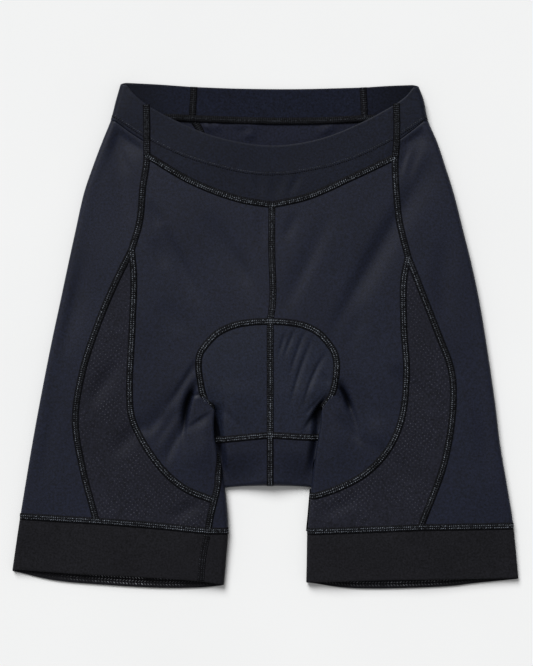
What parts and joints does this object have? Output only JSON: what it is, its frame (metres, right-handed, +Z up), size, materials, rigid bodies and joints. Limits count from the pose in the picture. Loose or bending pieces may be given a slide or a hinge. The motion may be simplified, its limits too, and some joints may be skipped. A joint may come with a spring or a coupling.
{
  "type": "cycling shorts",
  "caption": "Thigh-length stretch cycling shorts laid flat, with a dipped front waist, mesh side inserts, an arched seat gusset and deep elastic hem bands.",
  "frame": {"origin": "middle of the shorts' outline, at the floor that their back lies on", "axes": "+Z up from the floor to the front face, +Y towards the waist, +X towards the left leg of the wearer"},
  "size_m": [0.4716, 0.4714, 0.0132],
  "materials": {
    "jersey": "soft satin stretch knit, navy charcoal",
    "mesh": "fine open mesh knit, dark charcoal",
    "elastic": "matte elastic knit, near black"
  },
  "bodies": {
    "root": {"front_yoke": "jersey", "waistband_back": "jersey", "back_panel": "jersey", "waistband_side_left": "jersey", "side_panel_left": "jersey", "front_panel_left": "jersey", "mesh_panel_left": "mesh", "gusset_front_left": "jersey", "gusset_lower_left": "jersey", "hem_band_left": "elastic", "waistband_side_right": "jersey", "side_panel_right": "jersey", "front_panel_right": "jersey", "mesh_panel_right": "mesh", "gusset_front_right": "jersey", "gusset_lower_right": "jersey", "hem_band_right": "elastic"}
  },
  "joints": []
}
